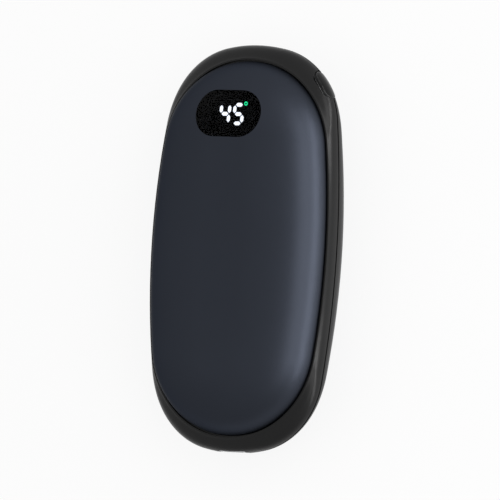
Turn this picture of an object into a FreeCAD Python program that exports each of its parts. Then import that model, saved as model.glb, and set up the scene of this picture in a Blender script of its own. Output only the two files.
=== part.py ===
import FreeCAD, Part
import Sketcher
import math
import os
import re

# Rechargeable hand warmer, lying on its back.
# X is the width, Y the length with the display end at +Y, Z the thickness with the front at +Z.
# The origin is on the flat of the rear panel, under the middle of the case.

SIZES = {
    # case
    "length": 104.0,
    "width": 54.2,
    "thick": 27.0,
    # outline of the rim at the parting plane: side arcs, flatter ends, tighter corners
    "side_radius": 262.0,
    "end_flat": 15.2,
    "corner_tight": 5.0,
    # outline of a rim half at its lip, and how the rim curves in towards it
    "lip_rise": 3.6,
    "lip_side": 0.6,
    "lip_end": 3.5,
    "lip_side_radius": 200.0,
    "lip_end_flat": 2.8,
    "lip_corner_tight": 0.4,
    "side_curve": 2.6,
    "end_curve": 3.0,
    "lip_wall": 0.4,
    # shadow line around the parting plane
    "seam_half": 0.25,
    "seam_depth": 0.3,
    # rim wall and the ledge that carries a panel
    "frame_wall": 2.2,
    "ledge_rise": 2.8,
    "ledge_width": 2.0,
    "room_half": 1.9,
    # panels: a flat land, a crown arc and a shoulder arc, drawn in less at the ends
    "panel_gap": 0.35,
    "panel_wall": 1.0,
    "land_half": 6.0,
    "end_fullness": 0.78,
    "shoulder_radius": 10.0,
    "edge_slope": 80.0,
    # display window and lens
    "window_from_top": 18.3,
    "window_width": 19.5,
    "window_height": 12.0,
    "lens_gap": 0.1,
    "lens_flange": 1.2,
    # heater films, bonded under the panels
    "bond_gap": 0.05,
    "film_thick": 0.3,
    "film_width": 28.0,
    "film_corner": 4.0,
    "film_clear": 0.4,
    # display module, its digits and its carrier
    "module_width": 15.0,
    "module_height": 9.0,
    "module_depth": 6.0,
    "module_drop": 3.6,
    "gasket_wall": 1.0,
    "digit_width": 2.45,
    "digit_height": 4.7,
    "digit_pitch": 4.0,
    "digit_shift": -0.5,
    "digit_slant": 4.5,
    "stroke": 0.95,
    "stroke_gap": 0.2,
    "segment_depth": 0.8,
    "ring_shift": 4.1,
    "ring_drop": -0.35,
    "ring_outer": 1.0,
    "ring_inner": 0.55,
    "spacer_wall": 1.0,
    "pin_size": 0.5,
    "pin_pitch": 2.0,
    "pin_row": 2.8,
    "pin_tail": 1.2,
    "pin_hole": 0.8,
    # boards, clamped between the rim halves
    "board_thick": 1.0,
    "board_gap": 0.2,
    "board_room": 0.8,
    # cells and their tray
    "lead_room": 2.65,
    "cell_end_room": 15.5,
    "cell_side_room": 10.5,
    "cell_cover": 7.5,
    "cell_corner": 4.0,
    "cell_round": 0.8,
    "tape_thick": 0.2,
    "tape_width": 12.0,
    "tape_shift": 8.0,
    "tray_gap": 0.2,
    "tray_wall": 1.2,
    "foam_inset": 1.0,
    "tab_width": 4.0,
    "tab_length": 2.5,
    "tab_thick": 0.15,
    "tab_place": 7.0,
    # case screws, through lugs on both rim halves into the ears of the tray
    "lug_gap": 0.3,
    "lug_width": 5.0,
    "lug_span": 16.0,
    "screw_inset": 2.1,
    "screw_size": 1.9,
    "screw_play": 0.3,
    "pilot_play": 0.1,
    "head_size": 3.4,
    "head_rise": 1.1,
    "screw_grip": 1.8,
    "ear_thick": 2.2,
    # heater leads and sensor
    "lead_size": 0.8,
    "lead_inset": 0.6,
    "lead_place": 12.5,
    "sensor_length": 2.0,
    "sensor_width": 1.2,
    "sensor_thick": 0.6,
    "sensor_inset": 1.2,
    # power key and its switch, on a line through the centre of the upper right corner arc
    "key_angle": 35.0,
    "key_length": 8.4,
    "key_height": 4.8,
    "key_gap": 0.2,
    "key_cap": 1.5,
    "key_neck": 0.8,
    "key_round": 0.3,
    "key_recess": 0.1,
    "key_crown": 0.65,
    "key_flange": 0.7,
    "key_flange_thick": 0.9,
    "key_flange_gap": 0.1,
    "key_pocket_gap": 0.3,
    "key_wall": 2.8,
    "key_travel": 0.3,
    "stem_size": 2.4,
    "stem_length": 0.7,
    "plunger_size": 1.8,
    "plunger_reach": 1.0,
    "plunger_bury": 0.9,
    "plunger_gap": 0.1,
    "switch_depth": 3.5,
    "switch_width": 6.0,
    "switch_height": 3.0,
    "switch_tab": 1.2,
    "switch_tab_thick": 0.3,
    "switch_tab_inset": 0.8,
    "switch_gap": 0.1,
    # charging socket
    "usb_width": 8.94,
    "usb_height": 3.26,
    "usb_depth": 7.3,
    "usb_wall": 0.3,
    "usb_inset": 0.3,
    "usb_gap": 0.13,
    "usb_tab": 1.6,
    "usb_tab_length": 2.0,
    "usb_tab_inset": 0.5,
    "usb_pocket": 2.4,
    "tongue_width": 6.69,
    "tongue_thick": 0.7,
    "tongue_reach": 4.6,
    "tongue_base": 1.6,
    # parts on the boards
    "chip_size": 6.0,
    "chip_thick": 1.0,
    "chip_place": 12.5,
    "chip_rise": 2.7,
    "charger_size": 5.0,
    "charger_thick": 0.9,
    "charger_place": 8.0,
    "coil_size": 6.0,
    "coil_rise": 2.8,
    "coil_corner": 1.2,
    "part_inset": 1.2,
    "flex_width": 8.0,
    "flex_thick": 0.2,
    "flex_inset": 8.0,
}

# Sizes that follow from the ones above, as formulas over their names.
DERIVED = {
    "mid": "thick/2",
    # panel outline and dome
    "lip_half": "width/2 - lip_side",
    "lip_length": "length/2 - lip_end",
    "panel_inset": "lip_wall + panel_gap",
    "panel_half": "lip_half - panel_inset",
    "panel_length": "lip_length - panel_inset",
    "dome_run": "panel_half - land_half - shoulder_radius*sin(edge_slope)",
    "dome_rise": "mid - ledge_rise - shoulder_radius*(1 - cos(edge_slope))",
    "dome_slope": "2*atan(dome_rise/dome_run)/(1 deg)",
    "crown_radius": "dome_run/sin(dome_slope) + shoulder_radius",
    # layers under a panel
    "film_top": "panel_wall + bond_gap",
    "film_under": "film_top + film_thick",
    "core_depth": "film_under + bond_gap",
    # centre of the upper right corner arc of the rim, where its two neighbours' circles place it
    "end_even": "(side_radius*width - (width^2 + length^2)/4)/(2*side_radius - length)",
    "corner_radius": "end_even - corner_tight",
    "side_off": "side_radius - width/2",
    "end_off": "length/2 - end_even - end_flat",
    "side_reach": "side_radius - corner_radius",
    "end_reach": "end_flat + corner_tight",
    "off_span": "sqrt(side_off^2 + end_off^2)",
    "off_along": "(side_reach^2 - end_reach^2 + off_span^2)/(2*off_span)",
    "off_across": "sqrt(side_reach^2 - off_along^2)",
    "corner_across": "(off_along*side_off - off_across*end_off)/off_span - side_off",
    "corner_along": "(off_along*end_off + off_across*side_off)/off_span",
    # places along the length, worked down from the window
    "window_along": "length/2 - window_from_top",
    "film_end": "window_along - window_height/2 - lens_flange - film_clear",
    "cell_end": "film_end - lead_room",
    "cell_start": "cell_end_room - lip_length",
    "cell_length": "cell_end - cell_start",
    "cell_middle": "(cell_end + cell_start)/2",
    "control_edge": "cell_end + board_room",
    "charge_edge": "cell_start - board_room",
    # cells and tray
    "cell_half": "lip_half - cell_side_room",
    "cell_thick": "mid - cell_cover - tape_thick/2",
    "stack_rise": "cell_thick + tape_thick/2",
    "tray_half": "cell_half + tray_gap + tray_wall",
    "tray_length": "cell_length + 2*tray_gap + 2*tray_wall",
    "lug_inner": "tray_half + lug_gap",
    "lug_outer": "width/2 - frame_wall",
    "screw_across": "lug_inner + screw_inset",
    # display
    "module_top": "thick - module_drop",
    "module_base": "module_top - module_depth",
    "board_top": "mid + board_thick/2",
    # key and switch, as distances from the corner centre
    "key_stop": "corner_radius - key_wall",
    "key_cap_back": "corner_radius - key_cap",
    "key_flange_face": "key_stop - key_flange_gap",
    "key_back": "key_flange_face - key_flange_thick",
    "plunger_tip": "key_back - stem_length",
    "switch_face": "plunger_tip - plunger_reach",
    "switch_back": "switch_face - switch_depth",
    # charging socket
    "usb_mouth": "length/2 - usb_inset",
    "usb_back": "usb_mouth - usb_depth",
}

doc = FreeCAD.newDocument("hand_warmer")
sheet = doc.addObject("Spreadsheet::Sheet", "Sizes")
for row, (alias, size) in enumerate(SIZES.items(), start=1):
    sheet.set("A%d" % row, str(size))
    sheet.setAlias("A%d" % row, alias)
doc.recompute()

parts = []


def formula(text):
    """Expand a size formula into an expression over the cells of the sheet."""
    def cell(match):
        name = match.group(0)
        if name in SIZES:
            return "Sizes." + name
        if name in DERIVED:
            return "(" + formula(DERIVED[name]) + ")"
        return name
    return re.sub(r"[a-z_]+", cell, str(text))


def value(text):
    """The present value of a size formula."""
    return float(sheet.evalExpression(formula(text)))


def bind(item, **places):
    """Bind properties of an object to size formulas; a double underscore stands for a dot."""
    for name, text in places.items():
        item.setExpression(name.replace("__", "."), formula(text))


def keep(item, label):
    """Name an object as a sub-part."""
    item.Label = label
    parts.append(item)
    return item


def place(item, across="0", along="0", level="0", turn=None):
    """Bind where an object stands, turned about Z where a turn is given."""
    if turn is not None:
        item.Placement.Rotation = FreeCAD.Rotation(FreeCAD.Vector(0, 0, 1), value(turn))
        bind(item, Placement__Rotation__Angle=turn)
    bind(item, Placement__Base__x=across, Placement__Base__y=along, Placement__Base__z=level)
    return item


# Sketches

def new_sketch(body, role, level):
    plane = [item for item in body.Origin.OriginFeatures if item.Role == role][0]
    drawing = body.newObject("Sketcher::SketchObject", body.Name + "_sketch")
    drawing.AttachmentSupport = [(plane, "")]
    drawing.MapMode = "FlatFace"
    bind(drawing, AttachmentOffset__Base__z=level)
    return drawing


def arc(middle, radius, start, end):
    circle = Part.Circle(FreeCAD.Vector(*middle, 0), FreeCAD.Vector(0, 0, 1), radius)
    return Part.ArcOfCircle(circle, start, end)


def line(start, end):
    return Part.LineSegment(FreeCAD.Vector(*start, 0), FreeCAD.Vector(*end, 0))


def constrain(drawing, rules, sizes):
    """Add geometric rules to a sketch, and dimensions bound to size formulas."""
    limits = [Sketcher.Constraint(*rule) for rule in rules]
    for name, text, *where in sizes:
        limits.append(Sketcher.Constraint(*where, value(text)))
    drawing.addConstraint(limits)
    for index, (name, text, *where) in enumerate(sizes, start=len(rules)):
        drawing.renameConstraint(index, name)
        bind(drawing, **{"Constraints__" + name: text})


def chain(kind, count):
    """Rules that join each curve's end to the next one's start."""
    return [(kind, index, 2, (index + 1) % count, 1) for index in range(count)]


def draw_oval(body, shape, inset, level):
    """Closed outline of eight tangent arcs: two sides, two ends and four corners."""
    drawing = new_sketch(body, "XY_Plane", level)
    half, length, side, end, corner = ["%s - (%s)" % (text, inset) for text in shape]
    side_r, end_r, corner_r = value(side), value(end), value(corner)
    side_off = "(%s) - (%s)" % (side, half)
    end_off = "(%s) - (%s)" % (length, end)
    p, q = value(side_off), value(end_off)
    span = math.hypot(p, q)
    along = ((side_r - corner_r) ** 2 - (end_r - corner_r) ** 2 + span ** 2) / (2 * span)
    across = math.sqrt((side_r - corner_r) ** 2 - along ** 2)
    x = (along * p - across * q) / span - p
    y = (along * q + across * p) / span
    low = math.atan2(y, x + p)
    high = math.atan2(y - q, x)
    turn = math.pi
    drawing.addGeometry([
        arc((-p, 0), side_r, -low, low),
        arc((x, y), corner_r, low, high),
        arc((0, q), end_r, high, turn - high),
        arc((-x, y), corner_r, turn - high, turn - low),
        arc((p, 0), side_r, turn - low, turn + low),
        arc((-x, -y), corner_r, turn + low, turn + high),
        arc((0, -q), end_r, turn + high, 2 * turn - high),
        arc((x, -y), corner_r, 2 * turn - high, 2 * turn - low),
    ], False)
    rules = chain("Tangent", 8)
    rules += [("Equal", first, second) for first, second in ((0, 4), (2, 6), (1, 3), (1, 5), (1, 7))]
    rules += [("PointOnObject", index, 3, axis) for index, axis in ((0, -1), (4, -1), (2, -2), (6, -2))]
    constrain(drawing, rules, [
        ("side", side, "Radius", 0),
        ("end", end, "Radius", 2),
        ("corner", corner, "Radius", 1),
        ("right", side_off, "DistanceX", 0, 3, -1, 1),
        ("left", side_off, "DistanceX", -1, 1, 4, 3),
        ("top", end_off, "DistanceY", -1, 1, 2, 3),
        ("foot", end_off, "DistanceY", 6, 3, -1, 1),
    ])
    return drawing


def draw_slot(body, role, length, width, level):
    """Obround about the middle of the plane, long in its first direction."""
    drawing = new_sketch(body, role, level)
    run = "((%s) - (%s))/2" % (length, width)
    radius = "(%s)/2" % width
    x, r = value(run), value(radius)
    quarter = math.pi / 2
    drawing.addGeometry([
        arc((x, 0), r, -quarter, quarter),
        line((x, r), (-x, r)),
        arc((-x, 0), r, quarter, 3 * quarter),
        line((-x, -r), (x, -r)),
    ], False)
    rules = chain("Tangent", 4) + [("PointOnObject", index, 3, -1) for index in (0, 2)]
    constrain(drawing, rules, [
        ("radius", radius, "Radius", 0),
        ("right", run, "DistanceX", -1, 1, 0, 3),
        ("left", run, "DistanceX", 2, 3, -1, 1),
    ])
    return drawing


def draw_rounded(body, role, width, length, corner, level):
    """Rectangle with round corners about the middle of the plane."""
    drawing = new_sketch(body, role, level)
    x = value(width) / 2
    y = value(length) / 2
    r = value(corner)
    quarter = math.pi / 2
    drawing.addGeometry([
        line((x, r - y), (x, y - r)),
        arc((x - r, y - r), r, 0, quarter),
        line((x - r, y), (r - x, y)),
        arc((r - x, y - r), r, quarter, 2 * quarter),
        line((-x, y - r), (-x, r - y)),
        arc((r - x, r - y), r, 2 * quarter, 3 * quarter),
        line((r - x, -y), (x - r, -y)),
        arc((x - r, r - y), r, 3 * quarter, 4 * quarter),
    ], False)
    rules = chain("Tangent", 8) + [("Equal", 1, index) for index in (3, 5, 7)]
    rules += [("Vertical", 0), ("Horizontal", 2), ("Symmetric", 1, 3, 5, 3, -1, 1)]
    constrain(drawing, rules, [
        ("corner", corner, "Radius", 1),
        ("width", "(%s) - 2*(%s)" % (width, corner), "DistanceX", 5, 3, 1, 3),
        ("length", "(%s) - 2*(%s)" % (length, corner), "DistanceY", 5, 3, 1, 3),
    ])
    return drawing


def draw_bar(body, length, width):
    """Bar of a digit: a long hexagon with square points, about the middle of the plane."""
    drawing = new_sketch(body, "XY_Plane", "0")
    tip = "(%s)/2" % length
    side = "(%s)/2" % width
    x, y = value(tip), value(side)
    corners = [(x, 0), (x - y, y), (y - x, y), (-x, 0), (y - x, -y), (x - y, -y)]
    for index, corner in enumerate(corners):
        drawing.addGeometry(line(corner, corners[(index + 1) % 6]), False)
    rules = chain("Coincident", 6) + [("Horizontal", index) for index in (1, 4)]
    rules += [("PointOnObject", index, 1, -1) for index in (0, 3)]
    rules += [("Vertical", first, 1, second, 1) for first, second in ((1, 5), (2, 4))]
    rules.append(("Equal", 0, 2))
    constrain(drawing, rules, [
        ("right", tip, "DistanceX", -1, 1, 0, 1),
        ("left", tip, "DistanceX", 3, 1, -1, 1),
        ("upper", side, "DistanceY", -1, 1, 1, 1),
        ("lower", side, "DistanceY", 5, 1, -1, 1),
        ("point", side, "DistanceX", 1, 1, 0, 1),
    ])
    return drawing


def draw_circle(body, role, size, level):
    drawing = new_sketch(body, role, level)
    circle = Part.Circle(FreeCAD.Vector(0, 0, 0), FreeCAD.Vector(0, 0, 1), value(size) / 2)
    drawing.addGeometry(circle, False)
    constrain(drawing, [("Coincident", 0, 3, -1, 1)], [("size", size, "Diameter", 0)])
    return drawing


# Features

def new_body(name):
    return doc.addObject("PartDesign::Body", name)


def pad(body, drawing, length):
    feature = body.newObject("PartDesign::Pad", body.Name + "_pad")
    feature.Profile = drawing
    bind(feature, Length=length)
    return feature


def pocket(body, drawing, depth):
    """Cut a sketch into the body, against the direction that its plane faces."""
    feature = body.newObject("PartDesign::Pocket", body.Name + "_pocket")
    feature.Profile = drawing
    bind(feature, Length=depth)
    return feature


def loft(body, drawings):
    feature = body.newObject("PartDesign::AdditiveLoft", body.Name + "_loft")
    feature.Profile = drawings[0]
    feature.Sections = drawings[1:]
    return feature


def oval_block(name, shape, inset, level, rise):
    body = new_body(name)
    pad(body, draw_oval(body, shape, inset, level), rise)
    return body


def slot_block(name, role, length, width, level, rise):
    body = new_body(name)
    pad(body, draw_slot(body, role, length, width, level), rise)
    return body


def rounded_block(name, width, length, corner, level, rise):
    body = new_body(name)
    pad(body, draw_rounded(body, "XY_Plane", width, length, corner, level), rise)
    return body


def rod(name, role, size, level, rise):
    body = new_body(name)
    pad(body, draw_circle(body, role, size, level), rise)
    return body


def block(name, across, along, level, width, length, rise):
    """Box given by its middle in X and Y and by its lower face."""
    box = doc.addObject("Part::Box", name)
    bind(box, Length=width, Width=length, Height=rise)
    return place(box, "(%s) - (%s)/2" % (across, width), "(%s) - (%s)/2" % (along, length), level)


def cylinder(name, across, along, level, size, rise):
    item = doc.addObject("Part::Cylinder", name)
    bind(item, Radius="(%s)/2" % size, Height=rise)
    return place(item, across, along, level)


def cut(name, base, tool):
    item = doc.addObject("Part::Cut", name)
    item.Base = base
    item.Tool = tool
    return item


def fuse(name, items):
    item = doc.addObject("Part::MultiFuse", name)
    item.Shapes = items
    return item


def common(name, first, second):
    item = doc.addObject("Part::MultiCommon", name)
    item.Shapes = [first, second]
    return item


def group(name, items):
    """Separate solids that share a node."""
    item = doc.addObject("Part::Compound", name)
    item.Links = items
    return item


def mirror(name, source):
    """The same shape behind the parting plane."""
    item = doc.addObject("Part::Mirroring", name)
    item.Source = source
    item.Normal = (0, 0, 1)
    bind(item, Base__z="mid")
    return item


def round_edges(body, radius, picked):
    """Fillet the edges of the body's last feature that a test picks."""
    doc.recompute()
    base = body.Tip
    names = ["Edge%d" % (index + 1) for index, edge in enumerate(base.Shape.Edges) if picked(edge)]
    feature = body.newObject("PartDesign::Fillet", body.Name + "_round")
    feature.Base = (base, names)
    bind(feature, Radius=radius)
    return feature


def is_flat(edge):
    """Whether an edge lies at one level."""
    return edge.BoundBox.ZLength < 1e-6


# Outlines

def outline(half, length, side, flat, tight):
    """Formulas of an oval: half width, half length, and radii of its sides, ends and corners."""
    even = "(2*({s})*({a}) - ({a})^2 - ({b})^2)/(2*(({s}) - ({b})))".format(s=side, a=half, b=length)
    return half, length, side, "%s + %s" % (even, flat), "%s - (%s)" % (even, tight)


def rim_outline(share):
    """Outline of the rim, from the parting plane at share 0 to the lip at share 1."""
    blend = share ** 2
    return outline(
        "width/2 - lip_side*%g^side_curve" % share,
        "length/2 - lip_end*%g^end_curve" % share,
        "side_radius + (lip_side_radius - side_radius)*%g" % blend,
        "end_flat + (lip_end_flat - end_flat)*%g" % blend,
        "corner_tight + (lip_corner_tight - corner_tight)*%g" % blend,
    )


RIM = outline("width/2", "length/2", "side_radius", "end_flat", "corner_tight")
LIP = outline("lip_half", "lip_length", "lip_side_radius", "lip_end_flat", "lip_corner_tight")


# Panels

def dome(name, depth):
    """Space under a dome that lies a given depth inside the outer face of the front panel."""
    body = new_body(name)
    crown = "(crown_radius - (%s))" % depth
    shoulder = "(shoulder_radius - (%s))" % depth
    steps = 3
    sections = []
    for step in range(steps):
        slope = "(edge_slope + (dome_slope - edge_slope)*%d/%d)" % (step, steps)
        reach = "land_half + %s*sin(dome_slope) + %s*(sin(%s) - sin(dome_slope))" % (crown, shoulder, slope)
        drop = "%s*(1 - cos(dome_slope)) + %s*(cos(dome_slope) - cos(%s))" % (crown, shoulder, slope)
        sections.append((reach, drop))
    for step in range(steps + 1):
        slope = "(dome_slope*%d/%d)" % (steps - step, steps)
        sections.append(("land_half + %s*sin(%s)" % (crown, slope), "%s*(1 - cos(%s))" % (crown, slope)))
    drawings = []
    for reach, drop in sections:
        inset = "(panel_half - (%s))" % reach
        shape = outline(reach, "panel_length - end_fullness*" + inset,
                        "lip_side_radius - panel_inset - " + inset, "lip_end_flat", "lip_corner_tight")
        drawings.append(draw_oval(body, shape, "0", "thick - (%s) - (%s)" % (depth, drop)))
    loft(body, drawings)
    return body


panel_outside = dome("panel_outside", "0")
panel_inside = dome("panel_inside", "panel_wall")
film_outside = dome("film_outside", "film_top")
film_inside = dome("film_inside", "film_under")
core = dome("core", "core_depth")
rear_core = mirror("rear_core_space", core)

panel_blank = cut("panel_blank", panel_outside, panel_inside)
window = slot_block("window", "XY_Plane", "window_width", "window_height", "mid", "thick")
place(window, along="window_along")
keep(cut("front_panel_cut", panel_blank, window), "front_panel")
keep(mirror("rear_panel_shell", panel_blank), "rear_panel")

# Heater films and the lens share the layer just under the panel.

film_layer = cut("film_layer", film_outside, film_inside)
film_middle = "(cell_start + film_end)/2"
film_block = rounded_block("film_block", "film_width", "film_end - cell_start", "film_corner", "mid", "mid")
place(film_block, along=film_middle)
front_heater = keep(common("front_film", film_layer, film_block), "front_heater")
keep(mirror("rear_film", front_heater), "rear_heater")

lens_skin = cut("lens_skin", panel_outside, film_inside)
lens_plug = slot_block("lens_plug", "XY_Plane", "window_width - 2*lens_gap",
                       "window_height - 2*lens_gap", "mid", "thick")
lens_rim = slot_block("lens_rim", "XY_Plane", "window_width + 2*lens_flange",
                      "window_height + 2*lens_flange", "mid", "thick")
for item in (lens_plug, lens_rim):
    place(item, along="window_along")
lens_parts = [common("lens_face", lens_skin, lens_plug), common("lens_edge", film_layer, lens_rim)]
keep(fuse("lens", lens_parts), "display_lens")


# Rim halves

def frame_blank():
    """A rim half without its openings: outer loft, slot for the boards, opening and ledge."""
    body = new_body("frame_blank")
    drawings = []
    for share in (0, 0.25, 0.5, 0.75, 1):
        drawings.append(draw_oval(body, rim_outline(share), "0", "mid + lip_rise*%g" % share))
    loft(body, drawings)
    pocket(body, draw_oval(body, RIM, "frame_wall", "board_top"), "board_thick")
    pocket(body, draw_oval(body, LIP, "lip_wall + ledge_width", "mid + lip_rise"), "2*lip_rise")
    pocket(body, draw_oval(body, LIP, "lip_wall", "mid + lip_rise"), "lip_rise - ledge_rise")
    return body


screw_places = [(side, end) for side in (-1, 1) for end in (-1, 1)]


def at_screw(side, end):
    """Formulas of a case screw's place."""
    return "%d*screw_across" % side, "cell_middle + %d*lug_span" % end


lugs = []
lug_holes = []
for side, end in screw_places:
    across, along = at_screw(side, end)
    lug_middle = "%d*(lug_inner + lug_outer)/2" % side
    lugs.append(block("lug", lug_middle, along, "mid", "lug_outer - lug_inner", "lug_width", "ledge_rise"))
    lug_holes.append(cylinder("lug_hole", across, along, "0", "screw_size + screw_play", "thick"))
rim_blank = fuse("rim_blank", [frame_blank()] + lugs)


def on_key_line(item):
    """Stand an object on the corner centre, with its X axis out along the key's line."""
    return place(item, "corner_across", "corner_along", "mid", "key_angle")


def key_line_block(name, start, depth, width, level, rise):
    """Box on the key's line, given by its distance from the corner centre."""
    box = doc.addObject("Part::Box", name)
    bind(box, Length=depth, Width=width, Height=rise)
    base = "corner_across + (%s)*cos(key_angle) + (%s)/2*sin(key_angle)" % (start, width)
    side = "corner_along + (%s)*sin(key_angle) - (%s)/2*cos(key_angle)" % (start, width)
    return place(box, base, side, level, "key_angle")


key_hole = slot_block("key_hole", "YZ_Plane", "key_length + 2*key_gap", "key_height + 2*key_gap",
                      "key_cap_back - key_travel - key_gap", "2*key_wall")
key_neck_hole = slot_block("key_neck_hole", "YZ_Plane", "key_length - 2*key_neck + 2*key_gap",
                           "key_height - 2*key_neck + 2*key_gap", "key_stop - key_wall", "2*key_wall")
key_pocket = slot_block("key_pocket", "YZ_Plane", "key_length + 2*key_flange + 2*key_pocket_gap",
                        "2*room_half", "switch_back - switch_gap", "key_stop - switch_back + switch_gap")
key_openings = [key_hole, key_neck_hole, key_pocket]
for item in key_openings:
    on_key_line(item)

usb_hole = slot_block("usb_hole", "XZ_Plane", "usb_width + 2*usb_gap", "usb_height + 2*usb_gap",
                      "usb_back", "usb_depth + 4*usb_inset")
place(usb_hole, level="mid")
usb_room = block("usb_room", "0", "0 - (usb_back + lip_length - lip_wall)/2", "mid - room_half",
                 "usb_width + 2*usb_pocket", "lip_length - lip_wall - usb_back", "2*room_half")

seam_outer = oval_block("seam_outer", RIM, "0 - seam_depth", "mid - seam_half", "2*seam_half")
seam_inner = oval_block("seam_inner", RIM, "seam_depth", "mid - seam_half", "2*seam_half")
seam = cut("seam", seam_outer, seam_inner)

openings = fuse("frame_openings", [seam, usb_hole, usb_room] + key_openings + lug_holes)
keep(cut("front_rim", rim_blank, openings), "front_frame")
keep(cut("rear_rim", mirror("rear_blank", rim_blank), openings), "rear_frame")


# Cells in their tray

def cell(name, level):
    body = rounded_block(name, "2*cell_half", "cell_length", "cell_corner", level, "cell_thick")
    round_edges(body, "cell_round", is_flat)
    place(body, along="cell_middle")
    return keep(body, name)


cell("front_cell", "mid + tape_thick/2")
cell("rear_cell", "mid - stack_rise")
keep(block("tape", "tape_shift", "cell_middle", "mid - tape_thick/2", "tape_width",
           "cell_length - 2*cell_corner", "tape_thick"), "cell_tape")

tabs = []
for side in (-1, 1):
    for level in ("board_top", "mid - board_thick/2 - tab_thick"):
        along = "cell_end + (board_room + tab_length)/2"
        tabs.append(block("tab", "%d*tab_place" % side, along, level, "tab_width",
                          "board_room + tab_length", "tab_thick"))
keep(group("tabs", tabs), "cell_tabs")

tray_floor = "mid - stack_rise - tray_wall"
tray_blank = rounded_block("tray_blank", "2*tray_half", "tray_length",
                           "cell_corner + tray_gap + tray_wall", tray_floor,
                           "stack_rise + tray_wall - ledge_rise")
place(tray_blank, along="cell_middle")
tray_room = rounded_block("tray_room", "2*(cell_half + tray_gap)", "cell_length + 2*tray_gap",
                          "cell_corner + tray_gap", "mid - stack_rise", "stack_rise")
place(tray_room, along="cell_middle")
ears = []
pilots = []
for end in (-1, 1):
    along = at_screw(1, end)[1]
    ears.append(block("ear", "0", along, "mid - ledge_rise - ear_thick", "width", "lug_width", "ear_thick"))
for side, end in screw_places:
    across, along = at_screw(side, end)
    pilots.append(cylinder("pilot", across, along, "0", "screw_size + pilot_play", "mid"))
tray_solid = common("tray_solid", rear_core, fuse("tray_with_ears", [tray_blank] + ears))
keep(cut("tray", tray_solid, fuse("tray_cuts", [tray_room] + pilots)), "battery_tray")


def case_screw(side, end):
    across, along = at_screw(side, end)
    shank_foot = "mid - ledge_rise - screw_grip"
    shank = cylinder("shank", across, along, shank_foot, "screw_size", "2*ledge_rise + screw_grip")
    head = cylinder("head", across, along, "mid + ledge_rise", "head_size", "head_rise")
    return fuse("case_screw", [shank, head])


keep(group("screws", [case_screw(*spot) for spot in screw_places]), "case_screws")


def foam(name, space, level, rise):
    width = "2*(cell_half - foam_inset)"
    length = "cell_length - 2*foam_inset"
    body = rounded_block(name + "_block", width, length, "cell_corner", level, rise)
    place(body, along="cell_middle")
    return keep(common(name + "_pad", space, body), name)


foam("front_foam", core, "mid + stack_rise", "mid - stack_rise")
foam("rear_foam", rear_core, "0", tray_floor)

# Boards, cut from the same oval and clamped between the rim halves

switch_notch = key_line_block("switch_notch", "switch_back - switch_gap", "corner_radius",
                              "switch_width + 2*switch_gap", "0", "thick")
key_notch = key_line_block("key_notch", "key_back - key_travel - switch_gap", "corner_radius",
                           "key_length + 2*key_flange + 2*key_pocket_gap", "0", "thick")

pins = []
pin_holes = []
for column in (-2, -1, 0, 1, 2):
    for row in (-1, 1):
        across = "%d*pin_pitch" % column
        along = "window_along + %d*pin_row" % row
        foot = "mid - board_thick/2 - pin_tail"
        pins.append(cylinder("pin", across, along, foot, "pin_size", "module_base - (%s)" % foot))
        pin_holes.append(cylinder("pin_hole", across, along, "0", "pin_hole", "thick"))
keep(group("pins", pins), "display_pins")


def board(name, away, tools):
    """An oval board with what lies across the case from it cut away."""
    blank = oval_block(name + "_blank", RIM, "frame_wall + board_gap", "mid - board_thick/2", "board_thick")
    return keep(cut(name + "_cut", blank, fuse(name + "_tools", [away] + tools)), name)


control_away = block("control_away", "0", "control_edge - length/2", "0", "width", "length", "thick")
board("control_board", control_away, [switch_notch, key_notch] + pin_holes)
charge_away = block("charge_away", "0", "charge_edge + length/2", "0", "width", "length", "thick")
usb_notch = block("usb_notch", "0", "0 - usb_back - usb_depth/2 + usb_gap", "0",
                  "usb_width + 2*usb_gap", "usb_depth", "thick")
board("charge_board", charge_away, [usb_notch])

keep(block("flex", "flex_inset - cell_half", "(control_edge + charge_edge)/2", "mid - flex_thick/2",
           "flex_width", "control_edge - charge_edge", "flex_thick"), "link_flex")

# Display: a module with digits, on a spacer above its board

SEGMENTS = {
    # name: column, row, upright
    "a": (0, 1, False),
    "b": (0.5, 0.5, True),
    "c": (0.5, -0.5, True),
    "d": (0, -1, False),
    "e": (-0.5, -0.5, True),
    "f": (-0.5, 0.5, True),
    "g": (0, 0, False),
}
LIT = ("bcfg", "acdfg")


def segment(name, digit):
    """One bar of a digit, slanted as the digit is."""
    column, row, upright = SEGMENTS[name]
    length = "digit_height/2" if upright else "digit_width"
    bar = new_body("bar")
    pad(bar, draw_bar(bar, "%s - 2*stroke_gap" % length, "stroke"), "segment_depth")
    across = "digit_shift + %g*digit_pitch + %g*digit_width" % (digit - 0.5, column)
    lean = "%g*digit_height/2*tan(digit_slant)" % row
    turn = "90 - digit_slant" if upright else "0"
    return place(bar, "%s + %s" % (across, lean), "window_along + %g*digit_height/2" % row,
                 "module_top - segment_depth", turn)


lit = []
unlit = []
for digit, names in enumerate(LIT):
    for name in SEGMENTS:
        (lit if name in names else unlit).append(segment(name, digit))
lit_segments = keep(group("lit", lit), "lit_segments")
unlit_segments = keep(group("unlit", unlit), "unlit_segments")

ring_place = ("digit_shift + ring_shift", "window_along + digit_height/2 - ring_drop",
              "module_top - segment_depth")
ring_body = cylinder("ring_outer_disc", *ring_place, "ring_outer", "segment_depth")
ring_core = cylinder("ring_inner_disc", *ring_place, "ring_inner", "segment_depth")
degree_ring = keep(cut("ring", ring_body, ring_core), "degree_ring")

module_block = block("module_block", "0", "window_along", "module_base", "module_width", "module_height",
                     "module_depth")
module_cuts = fuse("module_cuts", lit + unlit + [degree_ring])
keep(cut("module", module_block, module_cuts), "display_module")


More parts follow.
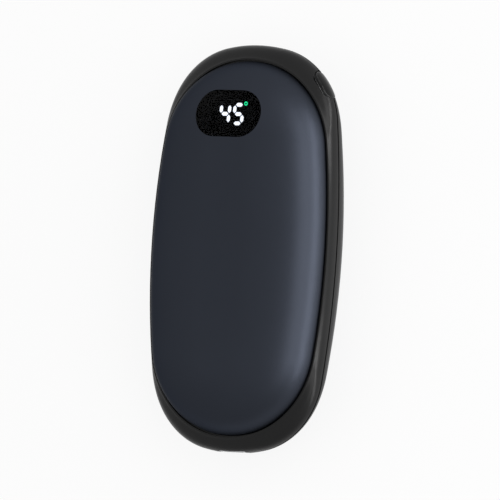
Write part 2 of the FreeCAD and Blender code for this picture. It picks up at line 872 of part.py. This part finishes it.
spacer_outer = block("spacer_outer", "0", "window_along", "board_top", "module_width", "module_height",
                     "module_base - board_top")
spacer_inner = block("spacer_inner", "0", "window_along", "board_top", "module_width - 2*spacer_wall",
                     "module_height - 2*spacer_wall", "module_base - board_top")
keep(cut("spacer", spacer_outer, spacer_inner), "display_spacer")

gasket_outer = slot_block("gasket_outer", "XY_Plane", "window_width - 2*lens_gap",
                          "window_height - 2*lens_gap", "module_top", "module_drop")
place(gasket_outer, along="window_along")
gasket_inner = block("gasket_inner", "0", "window_along", "module_top", "module_width - 2*gasket_wall",
                     "module_height - 2*gasket_wall", "module_drop")
keep(common("gasket", core, cut("gasket_ring", gasket_outer, gasket_inner)), "display_gasket")

# Power key, switch and plunger, on the key's line

def key_cap():
    """The key's cap, crowned by a turn about the corner centre and rounded at its edge."""
    body = slot_block("key_cap", "YZ_Plane", "key_length", "key_height", "key_cap_back", "key_cap")
    drawing = new_sketch(body, "XZ_Plane", "0")
    top = value("key_height/2 + key_gap")
    peak = value("corner_radius - key_recess")
    edge = peak - value("key_crown")
    beyond = value("corner_radius + key_cap")
    bulge = (top ** 2 + (peak - edge) ** 2) / (2 * (peak - edge))
    lean = math.asin(top / bulge)
    drawing.addGeometry([
        arc((peak - bulge, 0), bulge, -lean, lean),
        line((edge, top), (beyond, top)),
        line((beyond, top), (beyond, -top)),
        line((beyond, -top), (edge, -top)),
    ], False)
    rules = chain("Coincident", 4) + [("Horizontal", 1), ("Vertical", 2), ("Horizontal", 3)]
    rules.append(("PointOnObject", 0, 3, -1))
    constrain(drawing, rules, [
        ("top", "key_height/2 + key_gap", "DistanceY", -1, 1, 0, 2),
        ("edge", "corner_radius - key_recess - key_crown", "DistanceX", -1, 1, 0, 2),
        ("beyond", "corner_radius + key_cap", "DistanceX", -1, 1, 1, 2),
        ("bulge", "((key_height/2 + key_gap)^2 + key_crown^2)/(2*key_crown)", "Radius", 0),
    ])
    turned = body.newObject("PartDesign::Groove", "key_cap_crown")
    turned.Profile = drawing
    turned.ReferenceAxis = (drawing, ["V_Axis"])
    turned.Midplane = True
    turned.Angle = 90.0
    wall_start = value("key_cap_back + key_cap/4")
    round_edges(body, "key_round", lambda edge: edge.BoundBox.XMin > wall_start)
    return body


key_front = key_cap()
key_neck = slot_block("key_neck_shaft", "YZ_Plane", "key_length - 2*key_neck", "key_height - 2*key_neck",
                      "key_back", "key_cap_back - key_back")
key_flange = slot_block("key_flange_plate", "YZ_Plane", "key_length + 2*key_flange",
                        "2*room_half - 2*key_gap", "key_back", "key_flange_thick")
key_stem = rod("key_stem", "YZ_Plane", "stem_size", "plunger_tip", "stem_length")
switch_room = rod("switch_room", "YZ_Plane", "plunger_size + 2*plunger_gap",
                  "switch_face - plunger_bury - key_travel - plunger_gap", "switch_depth")
switch_plunger = rod("plunger", "YZ_Plane", "plunger_size", "switch_face - plunger_bury",
                     "plunger_reach + plunger_bury")
for item in (key_front, key_neck, key_flange, key_stem, switch_room, switch_plunger):
    on_key_line(item)
keep(fuse("key", [key_front, key_neck, key_flange, key_stem]), "power_button")
keep(switch_plunger, "switch_plunger")

switch_block = key_line_block("switch_block", "switch_back", "switch_depth", "switch_width",
                              "mid - switch_height/2", "switch_height")
switch_tabs = key_line_block("switch_tabs", "switch_back + switch_tab_inset",
                             "switch_depth - 2*switch_tab_inset", "switch_width + 2*switch_tab",
                             "board_top", "switch_tab_thick")
switch_solid = fuse("switch_solid", [switch_block, switch_tabs])
keep(cut("switch", switch_solid, switch_room), "switch_body")

# Charging socket

usb_shell = slot_block("usb_tube", "XZ_Plane", "usb_width", "usb_height", "usb_back", "usb_depth")
pocket(usb_shell, draw_slot(usb_shell, "XZ_Plane", "usb_width - 2*usb_wall", "usb_height - 2*usb_wall",
                            "usb_mouth"), "usb_depth")
place(usb_shell, level="mid")
usb_tabs = []
for side in (-1, 1):
    usb_tabs.append(block("usb_side_tab", "%d*(usb_width/2 - usb_wall + usb_tab/2)" % side,
                          "0 - usb_back - usb_tab_inset - usb_tab_length/2", "board_top", "usb_tab",
                          "usb_tab_length", "usb_wall"))
keep(fuse("usb_socket", [usb_shell] + usb_tabs), "usb_shell")

tongue = slot_block("tongue", "XZ_Plane", "usb_width - 2*usb_wall - 2*bond_gap",
                    "usb_height - 2*usb_wall - 2*bond_gap", "usb_back", "tongue_base")
pad(tongue, draw_slot(tongue, "XZ_Plane", "tongue_width", "tongue_thick", "usb_back + tongue_base"),
    "tongue_reach")
place(tongue, level="mid")
keep(tongue, "usb_tongue")

# Parts on the boards

keep(block("controller", "0 - chip_place", "control_edge + chip_rise + chip_size/2", "board_top",
           "chip_size", "chip_size", "chip_thick"), "control_chip")
keep(block("charger", "0 - charger_place", "charge_edge - part_inset - charger_size/2", "board_top",
           "charger_size", "charger_size", "charger_thick"), "charge_chip")
coil = rounded_block("coil", "coil_size", "coil_size", "coil_corner", "board_top", "coil_rise")
place(coil, "charger_place", "charge_edge - part_inset - coil_size/2")
keep(coil, "charge_coil")

# Heater leads and sensor

side_sag = "film_end^2/(2*(lip_side_radius - panel_half))"
lead_reach = "(lead_place + lead_size/2 + %s - land_half)" % side_sag
film_face = "thick - crown_radius + sqrt((crown_radius - core_depth)^2 - %s^2)" % lead_reach
front_leads = []
for side in (-1, 1):
    front_leads.append(cylinder("lead", "%d*lead_place" % side, "film_end - lead_inset", "board_top",
                                "lead_size", "%s - board_top" % film_face))
front_lead_pair = keep(group("front_leads", front_leads), "front_heater_leads")
keep(mirror("rear_leads", front_lead_pair), "rear_heater_leads")
keep(block("sensor", "0", "film_end - sensor_inset", "thick - film_under - sensor_thick", "sensor_length",
           "sensor_width", "sensor_thick"), "thermistor")

# Check and write

doc.recompute()
for item in doc.Objects:
    if "Invalid" in item.State or "Error" in item.State:
        raise RuntimeError("%s (%s) failed: %s" % (item.Name, item.Label, item.State))
os.makedirs("parts", exist_ok=True)
for item in parts:
    if item.Shape.isNull() or not item.Shape.isValid():
        raise RuntimeError("%s has no valid shape" % item.Label)
    if not item.Shape.Solids:
        raise RuntimeError("%s has no solid" % item.Label)
for item in parts:
    item.Shape.exportStep("parts/%s.step" % item.Label)
    print(item.Label, len(item.Shape.Solids), round(item.Shape.Volume, 1))
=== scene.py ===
import math

import bpy
from mathutils import Matrix, Vector


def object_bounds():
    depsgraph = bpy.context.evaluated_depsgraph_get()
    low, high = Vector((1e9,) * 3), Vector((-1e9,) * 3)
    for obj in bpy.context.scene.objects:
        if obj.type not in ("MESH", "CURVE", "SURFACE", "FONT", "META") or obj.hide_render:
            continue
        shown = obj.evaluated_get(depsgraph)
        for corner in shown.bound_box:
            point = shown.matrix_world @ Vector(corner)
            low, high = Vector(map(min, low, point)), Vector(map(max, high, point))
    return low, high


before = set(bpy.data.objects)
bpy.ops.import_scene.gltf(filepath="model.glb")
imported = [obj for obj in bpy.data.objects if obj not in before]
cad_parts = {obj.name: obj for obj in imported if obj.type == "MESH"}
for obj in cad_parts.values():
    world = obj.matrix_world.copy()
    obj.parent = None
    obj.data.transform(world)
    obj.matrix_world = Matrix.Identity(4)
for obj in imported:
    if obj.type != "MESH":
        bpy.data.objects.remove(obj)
cad_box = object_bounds()

MM = 0.001

# Photograph's view: the frame's side in pixels, and how the camera is turned round the hand warmer
PHOTO_SIDE = 500
PIXELS_PER_MM = 3.932
SENSOR = 36.0
CAMERA_DISTANCE = 3112 * MM
CAMERA_YAW = -32.6
CAMERA_PITCH = -2.35
CAMERA_ROLL = -3.5
AIM_RIGHT = 0.882 * MM
AIM_UP = -0.214 * MM

# Studio in metres and watts: pale floor, white surroundings and two softboxes on the key's side
FLOOR_HALF = 12.0
FLOOR_LEVEL = -0.1 * MM
FLOOR_GLOW = 0.87
SURROUNDINGS_CHARGING_END = 0.54
SURROUNDINGS_DISPLAY_END = 0.86
LOW_LIGHT = {"place": (1.14, 0.12, 0.13), "width": 1.75, "height": 0.23, "watts": 11.5}
HIGH_LIGHT = {"place": (0.84, 0.15, 0.77), "width": 1.45, "height": 0.62, "watts": 7.2}

# Glow of the display, set so that it shows its own colour through the smoked window
DIGIT_GLOW = 4.4
RING_GLOW = 5.8

# Rubbed and glinting edges: cosines of the edge's turn where the lighter edge starts and is full, and the
# patches it comes in
RUB_AND_GLINT_START = 0.995
RUB_AND_GLINT_FULL = 0.8
RUB_AND_GLINT_PATCH_SCALE = 700.0
RUB_AND_GLINT_LEAST = 0.15

# Handling marks: the share of broad smudges, how much finer the wiping marks are, and the glossiest finish
SMUDGE_SHARE = 0.7
WIPE_FINER = 9.0
LEAST_ROUGHNESS = 0.01

# Scale of the pits in a grain, as a share of the grain's own scale
PIT_SCALE = 0.35

# Sockets of a colour mix node
MIX_FACTOR = 0
MIX_A = 6
MIX_B = 7
MIX_OUT = 2


# Shader nodes

def connect(tree, socket, value):
    """Link a socket to another one, or set it to a plain value."""
    if isinstance(value, bpy.types.NodeSocket):
        tree.links.new(value, socket)
    else:
        socket.default_value = value


def add(tree, kind, inputs=None, **settings):
    """Add a shader node with its settings, its inputs set or linked."""
    node = tree.nodes.new("ShaderNode" + kind)
    for name, value in settings.items():
        setattr(node, name, value)
    for name, value in (inputs or {}).items():
        connect(tree, node.inputs[name], value)
    return node


def maths(tree, operation, *values):
    return add(tree, "Math", dict(enumerate(values)), operation=operation).outputs[0]


def mix(tree, factor, first, second):
    node = add(tree, "Mix", {MIX_FACTOR: factor, MIX_A: first, MIX_B: second}, data_type="RGBA")
    return node.outputs[MIX_OUT]


def remap(tree, value, low, high, new_low, new_high):
    places = {"Value": value, "From Min": low, "From Max": high, "To Min": new_low, "To Max": new_high}
    return add(tree, "MapRange", places).outputs["Result"]


def on_object(tree):
    """Place on the piece itself, in metres, which travels with the piece."""
    return add(tree, "TexCoord").outputs["Object"]


def noise(tree, place, scale, detail=3.0, distortion=0.0):
    values = {"Vector": place, "Scale": scale, "Detail": detail, "Distortion": distortion}
    return add(tree, "TexNoise", values).outputs["Fac"]


def rgb(red, green, blue):
    return (red, green, blue, 1.0)


# Effects that several finishes share, each a node group

def effect_group(name, inputs, outputs):
    """An empty effect, with its named sockets."""
    tree = bpy.data.node_groups.new(name, "ShaderNodeTree")
    for label, kind, value in inputs:
        socket = tree.interface.new_socket(label, in_out="INPUT", socket_type="NodeSocket" + kind)
        socket.default_value = value
    for label, kind in outputs:
        tree.interface.new_socket(label, in_out="OUTPUT", socket_type="NodeSocket" + kind)
    return tree, tree.nodes.new("NodeGroupInput").outputs, tree.nodes.new("NodeGroupOutput").inputs


def make_tone():
    """Colour that drifts a little lighter and darker over the surface."""
    tree, given, out = effect_group("tone_drift", [
        ("Colour", "Color", rgb(0.5, 0.5, 0.5)),
        ("Spread", "Float", 0.1),
        ("Scale", "Float", 60.0),
    ], [("Colour", "Color")])
    drift = noise(tree, on_object(tree), given["Scale"], detail=4.0, distortion=0.4)
    shift = maths(tree, "MULTIPLY", maths(tree, "SUBTRACT", drift, 0.5), given["Spread"])
    value = maths(tree, "MULTIPLY_ADD", shift, 2.0, 1.0)
    tinted = add(tree, "HueSaturation", {"Value": value, "Color": given["Colour"]})
    connect(tree, out["Colour"], tinted.outputs["Color"])
    return tree


def make_gloss():
    """Roughness that varies with handling: broad smudges and finer wiping marks."""
    tree, given, out = effect_group("handled_gloss", [
        ("Roughness", "Float", 0.4),
        ("Spread", "Float", 0.05),
        ("Scale", "Float", 80.0),
    ], [("Roughness", "Float")])
    place = on_object(tree)
    broad = noise(tree, place, given["Scale"], detail=2.0, distortion=0.8)
    fine = noise(tree, place, maths(tree, "MULTIPLY", given["Scale"], WIPE_FINER), detail=5.0)
    smudges = maths(tree, "MULTIPLY", broad, SMUDGE_SHARE)
    both = maths(tree, "MULTIPLY_ADD", fine, 1.0 - SMUDGE_SHARE, smudges)
    shift = maths(tree, "MULTIPLY", maths(tree, "SUBTRACT", both, 0.5), given["Spread"])
    rough = maths(tree, "MULTIPLY_ADD", shift, 2.0, given["Roughness"])
    connect(tree, out["Roughness"], maths(tree, "MAXIMUM", rough, LEAST_ROUGHNESS))
    return tree


def make_grain():
    """Height of a fine blasted or moulded grain."""
    tree, given, out = effect_group("fine_grain", [
        ("Scale", "Float", 4000.0),
        ("Coarse Share", "Float", 0.4),
    ], [("Height", "Float")])
    place = on_object(tree)
    fine = noise(tree, place, given["Scale"], detail=4.0)
    wider = maths(tree, "MULTIPLY", given["Scale"], PIT_SCALE)
    pits = add(tree, "TexVoronoi", {"Vector": place, "Scale": wider})
    coarse = maths(tree, "MULTIPLY", pits.outputs["Distance"], given["Coarse Share"])
    connect(tree, out["Height"], maths(tree, "ADD", fine, coarse))
    return tree


def make_wear_and_glint():
    """Colour painted lighter along the edges: rubbed wear on the shell and rim, a painted glint on the key.
    """
    tree, given, out = effect_group("edge_wear_and_glint", [
        ("Colour", "Color", rgb(0.1, 0.1, 0.1)),
        ("Rubbed And Glint Colour", "Color", rgb(0.3, 0.3, 0.3)),
        ("Radius", "Float", 0.2 * MM),
        ("Amount", "Float", 0.5),
    ], [("Colour", "Color")])
    rounded = add(tree, "Bevel", {"Radius": given["Radius"]}, samples=6).outputs["Normal"]
    true_normal = add(tree, "NewGeometry").outputs["Normal"]
    facing = add(tree, "VectorMath", {0: rounded, 1: true_normal}, operation="DOT_PRODUCT").outputs["Value"]
    # Lighter edge colour: rubbed wear on the shell and rim, a painted glint on the key
    edge = remap(tree, facing, RUB_AND_GLINT_START, RUB_AND_GLINT_FULL, 0.0, 1.0)
    blotches = noise(tree, on_object(tree), RUB_AND_GLINT_PATCH_SCALE, detail=5.0)
    patches = remap(tree, blotches, 0.35, 0.65, RUB_AND_GLINT_LEAST, 1.0)
    rub_and_glint_mask = maths(tree, "MULTIPLY", maths(tree, "MULTIPLY", edge, patches), given["Amount"])
    connect(tree, out["Colour"], mix(tree, rub_and_glint_mask, given["Colour"], given["Rubbed And Glint Colour"]))
    return tree


TONE = make_tone()
GLOSS = make_gloss()
GRAIN = make_grain()
WEAR_AND_GLINT = make_wear_and_glint()


def effect(tree, group, inputs):
    """Place a shared effect in a material, with its own values."""
    node = tree.nodes.new("ShaderNodeGroup")
    node.node_tree = group
    for name, value in inputs.items():
        connect(tree, node.inputs[name], value)
    return node.outputs


# Finishes

def new_finish(name, **constants):
    """A material with one Principled shader, whose plain values are set on its own sockets."""
    material = bpy.data.materials.new(name)
    material.use_nodes = True
    tree = material.node_tree
    tree.nodes.clear()
    shader = add(tree, "BsdfPrincipled", {key.replace("_", " "): value for key, value in constants.items()})
    add(tree, "OutputMaterial", {"Surface": shader.outputs["BSDF"]})
    return material, tree, shader.inputs


def surface(tree, inputs, colour, drift, roughness, spread, scale=60.0):
    """Colour and roughness that vary over a surface."""
    toned = effect(tree, TONE, {"Colour": colour, "Spread": drift, "Scale": scale})
    rough = effect(tree, GLOSS, {"Roughness": roughness, "Spread": spread, "Scale": scale * 1.5})
    connect(tree, inputs["Base Color"], toned["Colour"])
    connect(tree, inputs["Roughness"], rough["Roughness"])
    return toned["Colour"]


def bumped(tree, inputs, height, strength, depth):
    bump = add(tree, "Bump", {"Height": height, "Strength": strength, "Distance": depth})
    connect(tree, inputs["Normal"], bump.outputs["Normal"])


def anodised_shell():
    """Dark blue blasted aluminium."""
    material, tree, inputs = new_finish("blue_shell_finish", Metallic=1.0,
                                        Specular_Tint=rgb(0.42, 0.42, 0.42))
    navy = surface(tree, inputs, rgb(0.0372, 0.0422, 0.055), drift=0.04, roughness=0.44, spread=0.03)
    edge_lightened = effect(tree, WEAR_AND_GLINT, {"Colour": navy, "Rubbed And Glint Colour": rgb(0.075, 0.08, 0.098), "Amount": 0.35})
    connect(tree, inputs["Base Color"], edge_lightened["Colour"])
    grain = effect(tree, GRAIN, {"Scale": 5200.0})
    bumped(tree, inputs, grain["Height"], strength=0.12, depth=0.02 * MM)
    return material


def moulded_black(name, colour, sheen, roughness, grain_strength, rubbed_and_glint, rub_and_glint_width, rub_and_glint_share):
    """Black moulded plastic with a fine grain, its edges lighter: rubbed wear on the rim, a painted glint
    on the key.
    """
    material, tree, inputs = new_finish(name, Metallic=0.0, Specular_IOR_Level=sheen)
    black = surface(tree, inputs, colour, drift=0.08, roughness=roughness, spread=0.04)
    # Lighter edges: rubbed wear on the rim, a painted glint on the key
    edge_lightened = effect(tree, WEAR_AND_GLINT, {"Colour": black, "Rubbed And Glint Colour": rubbed_and_glint, "Radius": rub_and_glint_width,
                               "Amount": rub_and_glint_share})
    connect(tree, inputs["Base Color"], edge_lightened["Colour"])
    grain = effect(tree, GRAIN, {"Scale": 3800.0, "Coarse Share": 0.6})
    bumped(tree, inputs, grain["Height"], strength=grain_strength, depth=0.02 * MM)
    return material


def smoked_glass():
    """Gloss window, tinted so that only what glows behind it shows."""
    material, tree, inputs = new_finish("smoked_lens_finish", Metallic=0.0, Transmission_Weight=1.0,
                                        IOR=1.16, Specular_Tint=rgb(0.5, 0.5, 0.5))
    tint = effect(tree, TONE, {"Colour": rgb(0.25, 0.26, 0.28), "Spread": 0.04, "Scale": 90.0})
    rough = effect(tree, GLOSS, {"Roughness": 0.02, "Spread": 0.01, "Scale": 200.0})
    connect(tree, inputs["Base Color"], tint["Colour"])
    connect(tree, inputs["Roughness"], rough["Roughness"])
    return material


def glowing(name, colour, strength):
    """Light-guide plastic of a lit segment, a little uneven over its face."""
    material, tree, inputs = new_finish(name, Metallic=0.0, Emission_Strength=strength)
    body = effect(tree, TONE, {"Colour": colour, "Spread": 0.05, "Scale": 500.0})
    glow = effect(tree, TONE, {"Colour": colour, "Spread": 0.08, "Scale": 900.0})
    connect(tree, inputs["Base Color"], body["Colour"])
    connect(tree, inputs["Emission Color"], glow["Colour"])
    inputs["Roughness"].default_value = 0.5
    return material


def plain_plastic(name, colour, roughness):
    """Inner moulded plastic."""
    material, tree, inputs = new_finish(name, Metallic=0.0, Specular_IOR_Level=0.4)
    surface(tree, inputs, colour, drift=0.1, roughness=roughness, spread=0.05, scale=120.0)
    grain = effect(tree, GRAIN, {"Scale": 2600.0})
    bumped(tree, inputs, grain["Height"], strength=0.15, depth=0.03 * MM)
    return material


def bare_metal(name, colour, roughness):
    """Plated or bright sheet metal with drawing marks along it."""
    material, tree, inputs = new_finish(name, Metallic=1.0)
    surface(tree, inputs, colour, drift=0.08, roughness=roughness, spread=0.06, scale=200.0)
    stretched = add(tree, "Mapping", {"Vector": on_object(tree), "Scale": (1.0, 0.06, 1.0)})
    marks = noise(tree, stretched.outputs["Vector"], 9000.0, detail=3.0)
    bumped(tree, inputs, marks, strength=0.08, depth=0.02 * MM)
    return material


def solder_mask():
    """Green board with the faint relief of its tracks."""
    material, tree, inputs = new_finish("board_finish", Metallic=0.0)
    place = on_object(tree)
    cells = add(tree, "TexBrick", {"Vector": place, "Scale": 420.0, "Mortar Size": 0.09,
                                   "Color1": rgb(0.012, 0.075, 0.035), "Color2": rgb(0.014, 0.085, 0.04),
                                   "Mortar": rgb(0.03, 0.14, 0.06)})
    toned = effect(tree, TONE, {"Colour": cells.outputs["Color"], "Spread": 0.1, "Scale": 200.0})
    rough = effect(tree, GLOSS, {"Roughness": 0.35, "Spread": 0.08, "Scale": 300.0})
    connect(tree, inputs["Base Color"], toned["Colour"])
    connect(tree, inputs["Roughness"], rough["Roughness"])
    bumped(tree, inputs, cells.outputs["Fac"], strength=0.3, depth=0.03 * MM)
    return material


def cell_foil():
    """Laminated pouch foil with soft creases."""
    material, tree, inputs = new_finish("cell_foil_finish", Metallic=0.9)
    surface(tree, inputs, rgb(0.56, 0.57, 0.58), drift=0.06, roughness=0.34, spread=0.08, scale=90.0)
    creases = noise(tree, on_object(tree), 160.0, detail=4.0, distortion=1.2)
    bumped(tree, inputs, creases, strength=0.35, depth=0.3 * MM)
    return material


def open_foam():
    """Dark foam with open pores, painted darker inside them as their shade."""
    material, tree, inputs = new_finish("foam_finish", Metallic=0.0, Specular_IOR_Level=0.2)
    pores = add(tree, "TexVoronoi", {"Vector": on_object(tree), "Scale": 1900.0}).outputs["Distance"]
    outside_pore_shade = remap(tree, pores, 0.1, 0.6, 0.0, 1.0)
    # Pore centres painted darker: painted shade in the pores
    toned = mix(tree, outside_pore_shade, rgb(0.003, 0.003, 0.0035), rgb(0.014, 0.014, 0.015))
    drift = effect(tree, TONE, {"Colour": toned, "Spread": 0.1, "Scale": 150.0})
    connect(tree, inputs["Base Color"], drift["Colour"])
    inputs["Roughness"].default_value = 0.9
    bumped(tree, inputs, pores, strength=0.7, depth=0.2 * MM)
    return material


def heater_film():
    """Amber film with the heating track showing through."""
    material, tree, inputs = new_finish("film_finish", Metallic=0.0)
    bands = add(tree, "TexWave", {"Vector": on_object(tree), "Scale": 260.0, "Distortion": 0.0},
                wave_type="BANDS", bands_direction="X").outputs["Fac"]
    track = remap(tree, bands, 0.45, 0.55, 0.0, 1.0)
    toned = mix(tree, track, rgb(0.42, 0.19, 0.035), rgb(0.24, 0.1, 0.03))
    drift = effect(tree, TONE, {"Colour": toned, "Spread": 0.08, "Scale": 90.0})
    rough = effect(tree, GLOSS, {"Roughness": 0.28, "Spread": 0.06, "Scale": 150.0})
    connect(tree, inputs["Base Color"], drift["Colour"])
    connect(tree, inputs["Roughness"], rough["Roughness"])
    bumped(tree, inputs, track, strength=0.3, depth=0.03 * MM)
    return material


FINISHES = {
    "blue_shell": anodised_shell(),
    "black_rim": moulded_black("black_rim_finish", rgb(0.004, 0.004, 0.0042), sheen=0.28, roughness=0.34,
                               grain_strength=0.1, rubbed_and_glint=rgb(0.03, 0.03, 0.031), rub_and_glint_width=0.2 * MM,
                               rub_and_glint_share=0.3),
    # The key's pale edge line is a painted glint, not wear
    "black_key": moulded_black("black_key_finish", rgb(0.002, 0.002, 0.0021), sheen=0.14, roughness=0.24,
                               grain_strength=0.06, rubbed_and_glint=rgb(0.2, 0.2, 0.205), rub_and_glint_width=0.7 * MM,
                               rub_and_glint_share=0.9),
    "smoked_lens": smoked_glass(),
    "white_light": glowing("white_light_finish", rgb(0.95, 0.97, 1.0), strength=DIGIT_GLOW),
    "green_light": glowing("green_light_finish", rgb(0.012, 0.73, 0.26), strength=RING_GLOW),
    "dark_segment": plain_plastic("dark_segment_finish", rgb(0.008, 0.008, 0.009), roughness=0.5),
    "module_black": plain_plastic("module_black_finish", rgb(0.003, 0.003, 0.003), roughness=0.7),
    "inner_plastic": plain_plastic("inner_plastic_finish", rgb(0.03, 0.03, 0.032), roughness=0.55),
    "plunger_plastic": plain_plastic("plunger_plastic_finish", rgb(0.55, 0.54, 0.5), roughness=0.45),
    "socket_plastic": plain_plastic("socket_plastic_finish", rgb(0.012, 0.012, 0.013), roughness=0.45),
    "steel": bare_metal("steel_finish", rgb(0.5, 0.5, 0.51), roughness=0.28),
    "nickel": bare_metal("nickel_finish", rgb(0.6, 0.57, 0.5), roughness=0.3),
    "tape": plain_plastic("tape_finish", rgb(0.62, 0.6, 0.54), roughness=0.7),
    "board": solder_mask(),
    "chip": plain_plastic("chip_finish", rgb(0.018, 0.018, 0.02), roughness=0.6),
    "ferrite": plain_plastic("ferrite_finish", rgb(0.04, 0.04, 0.043), roughness=0.7),
    "foam": open_foam(),
    "film": heater_film(),
    "wire": plain_plastic("wire_finish", rgb(0.4, 0.02, 0.015), roughness=0.4),
    "cell_foil": cell_foil(),
}


def dress_nodes():
    """Give each solid of the frame the finish of its material slot."""
    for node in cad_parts.values():
        for place in node.material_slots:
            place.material = FINISHES[place.material.name]


# Studio

def add_camera():
    """Camera at the photograph's angle and scale."""
    yaw = Matrix.Rotation(math.radians(CAMERA_YAW), 3, "Y")
    pitch = Matrix.Rotation(math.radians(CAMERA_PITCH), 3, "X")
    roll = Matrix.Rotation(math.radians(CAMERA_ROLL), 3, "Z")
    right, up, back = roll @ pitch @ yaw
    lo, hi = cad_box
    aim = Vector((0, 0, (lo.z + hi.z) / 2)) + right * AIM_RIGHT + up * AIM_UP
    data = bpy.data.cameras.new("photo_camera")
    data.sensor_width = SENSOR
    data.lens = PIXELS_PER_MM / MM * CAMERA_DISTANCE * SENSOR / PHOTO_SIDE
    data.clip_start = CAMERA_DISTANCE / 10
    data.clip_end = CAMERA_DISTANCE * 10
    camera = bpy.data.objects.new("photo_camera", data)
    turned = Matrix((right, up, back)).transposed().to_4x4()
    camera.matrix_world = Matrix.Translation(aim + back * CAMERA_DISTANCE) @ turned
    bpy.context.scene.collection.objects.link(camera)
    bpy.context.scene.camera = camera


def seen_by_eye(tree):
    """1 for rays that show the background: straight, mirrored or through glass."""
    path = add(tree, "LightPath").outputs
    either = maths(tree, "MAXIMUM", path["Is Camera Ray"], path["Is Glossy Ray"])
    return maths(tree, "MAXIMUM", either, path["Is Transmission Ray"])


def add_floor():
    """Pale floor that keeps the shadow."""
    mesh = bpy.data.meshes.new("floor")
    sides = [(-1, -1), (1, -1), (1, 1), (-1, 1)]
    corners = [(across * FLOOR_HALF, along * FLOOR_HALF, FLOOR_LEVEL) for across, along in sides]
    mesh.from_pydata(corners, [], [(0, 1, 2, 3)])
    floor = bpy.data.objects.new("floor", mesh)
    bpy.context.scene.collection.objects.link(floor)
    material = bpy.data.materials.new("floor_paper")
    material.use_nodes = True
    tree = material.node_tree
    tree.nodes.clear()
    paper = add(tree, "BsdfDiffuse", {"Color": rgb(0.8, 0.8, 0.8)})
    glow = add(tree, "Emission", {"Color": rgb(1.0, 1.0, 1.0), "Strength": 1.0})
    share = maths(tree, "MULTIPLY", seen_by_eye(tree), FLOOR_GLOW)
    both = add(tree, "MixShader", {0: share, 1: paper.outputs[0], 2: glow.outputs[0]})
    add(tree, "OutputMaterial", {"Surface": both.outputs[0]})
    mesh.materials.append(material)


def softbox(name, place, width, height, watts):
    """Rectangular lamp that faces the hand warmer."""
    data = bpy.data.lights.new(name, "AREA")
    data.shape = "RECTANGLE"
    data.size = width
    data.size_y = height
    data.energy = watts
    lamp = bpy.data.objects.new(name, data)
    lamp.location = place
    lamp.rotation_euler = (-Vector(place)).to_track_quat("-Z", "Y").to_euler()
    bpy.context.scene.collection.objects.link(lamp)


def add_world():
    """White surroundings, dimmer towards the charging end."""
    world = bpy.data.worlds.new("studio")
    world.use_nodes = True
    tree = world.node_tree
    direction = add(tree, "TexCoord").outputs["Generated"]
    along = add(tree, "SeparateXYZ", {"Vector": direction}).outputs["Y"]
    level = remap(tree, along, -1.0, 1.0, SURROUNDINGS_CHARGING_END, SURROUNDINGS_DISPLAY_END)
    background = tree.nodes["Background"].inputs
    background["Color"].default_value = rgb(1.0, 1.0, 1.0)
    connect(tree, background["Strength"], level)
    bpy.context.scene.world = world


def add_studio():
    add_floor()
    add_world()
    softbox("low_light", **LOW_LIGHT)
    softbox("high_light", **HIGH_LIGHT)
    bpy.context.scene.view_settings.view_transform = "Standard"


dress_nodes()
add_camera()
add_studio()
